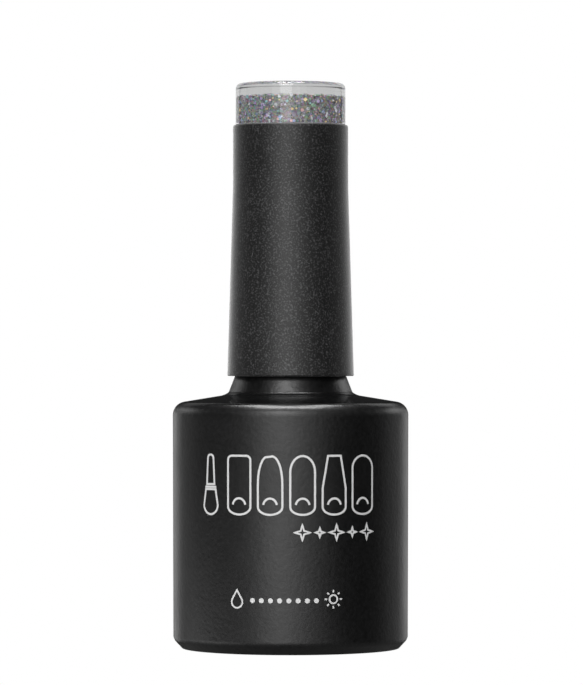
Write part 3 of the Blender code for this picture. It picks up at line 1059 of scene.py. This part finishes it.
def area_light(name, azimuth, elevation, distance, width, height, radiance, aim):
    """A soft rectangular lamp. Azimuth 0 is on the camera's side, and positive is to its right."""
    turn = math.radians(azimuth)
    climb = math.radians(elevation)
    level = math.cos(climb)
    away = Vector((math.sin(turn) * level, -math.cos(turn) * level, math.sin(climb)))
    data = bpy.data.lights.new(name, "AREA")
    data.shape = "RECTANGLE"
    data.size = width
    data.size_y = height
    data.energy = radiance * math.pi * width * height
    lamp = bpy.data.objects.new(name, data)
    lamp.location = Vector(aim) + away * distance
    lamp.rotation_euler = (-away).to_track_quat("-Z", "Y").to_euler()
    lamp.visible_camera = False
    lamp.visible_transmission = False
    bpy.context.scene.collection.objects.link(lamp)
    return lamp


def spare(lamp, *pieces):
    """Keeps a lamp's light off these pieces."""
    spared = bpy.data.collections.new(lamp.name + "_spares")
    for piece in pieces:
        spared.objects.link(piece)
    lamp.light_linking.receiver_collection = spared
    for item in spared.collection_objects:
        item.light_linking.link_state = "EXCLUDE"


def only(lamp, *pieces):
    """Lets a lamp light these pieces alone."""
    lit = bpy.data.collections.new(lamp.name + "_lights")
    for piece in pieces:
        lit.objects.link(piece)
    lamp.light_linking.receiver_collection = lit


def make_studio(window, sleeve):
    """A wide soft front light with a bright strip in it, top lights, and cards at the sides.

    The window has a strip and a card behind it of its own, and is kept clear of some of the rest.
    Each lamp has an azimuth and elevation in degrees, a distance, a width, a height and a radiance.
    """
    middle = (0.0, 0.0, 35.0 * MM)
    base = (0.0, 0.0, 4.0 * MM)
    under = (-5.0 * MM, -6.0 * MM, -14.0 * MM)
    area_light("strip_low", -10, -8, 0.9, 0.38, 0.40, 1.9, middle)
    area_light("strip_middle", -10, 17, 0.9, 0.38, 0.40, 2.6, middle)
    area_light("strip_high", -10, 37, 0.9, 0.42, 0.26, 9.0, middle)
    area_light("front_low", -10, 0, 0.9, 1.0, 0.60, 1.0, middle)
    area_light("front_high", -10, 33, 0.9, 0.9, 0.40, 1.3, middle)
    area_light("front_right", 24, 0, 0.9, 0.3, 0.60, 0.5, middle)
    area_light("top_front", -2, 84, 0.8, 0.50, 0.24, 16.0, middle)
    spare(area_light("top_back", 4, 106, 0.8, 0.55, 0.28, 9.0, middle), window)
    area_light("side_left", -118, -8, 0.8, 0.30, 0.40, 0.40, middle)
    area_light("side_right", 118, -8, 0.8, 0.30, 0.40, 0.45, middle)
    area_light("rim_left", -152, -6, 0.8, 0.30, 0.30, 1.4, middle)
    area_light("rim_right", 152, -6, 0.8, 0.30, 0.30, 1.3, middle)
    spare(area_light("rim_left_high", -148, 11, 0.8, 0.30, 0.14, 0.35, middle), window)
    spare(area_light("rim_right_high", 148, 11, 0.8, 0.30, 0.14, 0.35, middle), window)
    spare(area_light("collar_left", -128, 18, 0.8, 0.35, 0.22, 1.7, middle), window, sleeve)
    spare(area_light("collar_right", 128, 18, 0.8, 0.35, 0.22, 2.2, middle), window, sleeve)
    spare(area_light("shoulder_left", -160, 26, 0.8, 0.30, 0.25, 0.2, middle), window, sleeve)
    spare(area_light("shoulder_right", 155, 32, 0.8, 0.30, 0.30, 0.6, middle), window, sleeve)
    only(area_light("window_strip", -10, 0, 0.9, 0.34, 0.50, 4.0, middle), window)
    only(area_light("window_back", 180, 8, 0.9, 1.6, 1.0, 0.8, middle), window)
    area_light("table_card", -95, -12, 0.10, 0.06, 0.03, 1.2, base)
    area_light("table_left", -66, -18, 0.14, 0.10, 0.05, 1.5, base)
    area_light("table_bounce", 0, -90, 0.0, 0.10, 0.07, 0.16, under)


def make_world():
    """White behind the object, greyer when seen through clear plastic, and dim to light it."""
    world = bpy.data.worlds.new("studio")
    bpy.context.scene.world = world
    world.use_nodes = True
    nodes = world.node_tree.nodes
    links = world.node_tree.links
    background = nodes["Background"]
    path = nodes.new("ShaderNodeLightPath")
    through = nodes.new("ShaderNodeMath")
    through.operation = "MULTIPLY"
    through.inputs[1].default_value = SEEN_THROUGH_PLASTIC
    seen = nodes.new("ShaderNodeMath")
    seen.operation = "MAXIMUM"
    least = nodes.new("ShaderNodeMath")
    least.operation = "MAXIMUM"
    least.inputs[1].default_value = AMBIENT
    links.new(path.outputs["Is Transmission Ray"], through.inputs[0])
    links.new(path.outputs["Is Camera Ray"], seen.inputs[0])
    links.new(through.outputs["Value"], seen.inputs[1])
    links.new(seen.outputs["Value"], least.inputs[0])
    background.inputs["Color"].default_value = (1.0, 1.0, 1.0, 1.0)
    links.new(least.outputs["Value"], background.inputs["Strength"])


def make_camera():
    """A long lens, level, looking along +Y at the middle of the object's height."""
    data = bpy.data.cameras.new("camera")
    data.lens = 231.0
    data.sensor_width = 36.0
    data.clip_start = 0.01
    camera = bpy.data.objects.new("camera", data)
    camera.location = (0.11 * MM, -533.0 * MM, 37.0 * MM)
    camera.rotation_euler = (math.pi / 2, 0.0, 0.0)
    bpy.context.scene.collection.objects.link(camera)
    bpy.context.scene.camera = camera


# ---------------------------------------------------------------- build


def main():
    bpy.context.scene.view_settings.view_transform = "Standard"
    make_camera()
    make_world()

    cured = glitter_gel("glitter_gel_cured", 0.6)
    metal = steel()
    ink = print_ink()
    gel = glitter_gel("glitter_gel_wet", 0.4, 1.0)
    make_bottle(satin_lacquer())
    make_print(ink)
    make_gel(gel)
    make_balls(metal)
    paper = moulded("label_paper", (0.78, 0.78, 0.77), 0.6, 0.15 * MM)
    label_ink = moulded("label_ink", (0.03, 0.03, 0.03), 0.5, 0.1 * MM)
    make_base_label(paper, label_ink, cured)

    film = moulded("seal_film", (0.86, 0.86, 0.85), 0.32, 0.8 * MM)
    make_seal("washer_film", "seal_washer", "lip_seal", film, "seal_film", 0.05 * MM)
    foam = moulded("foam", (0.80, 0.80, 0.78), 0.75, 0.09 * MM)
    make_seal("liner_foam", "liner_disc", "liner", foam, "foam", 0.08 * MM)
    make_stem(moulded("rod_plastic", (0.014, 0.014, 0.015), 0.33, 0.4 * MM))
    make_bristles(moulded("nylon_bristle", (0.030, 0.028, 0.026), 0.35, 0.2 * MM))
    dress("brush_staple", metal)
    make_inner_cap(moulded("natural_plastic", (0.78, 0.78, 0.75), 0.38, 0.5 * MM, 0.15))

    sleeve = make_sleeve(soft_touch())
    window = make_window(clear_acrylic())
    make_sample(cured)
    make_flakes(flake_film())
    make_studio(window, sleeve)


main()
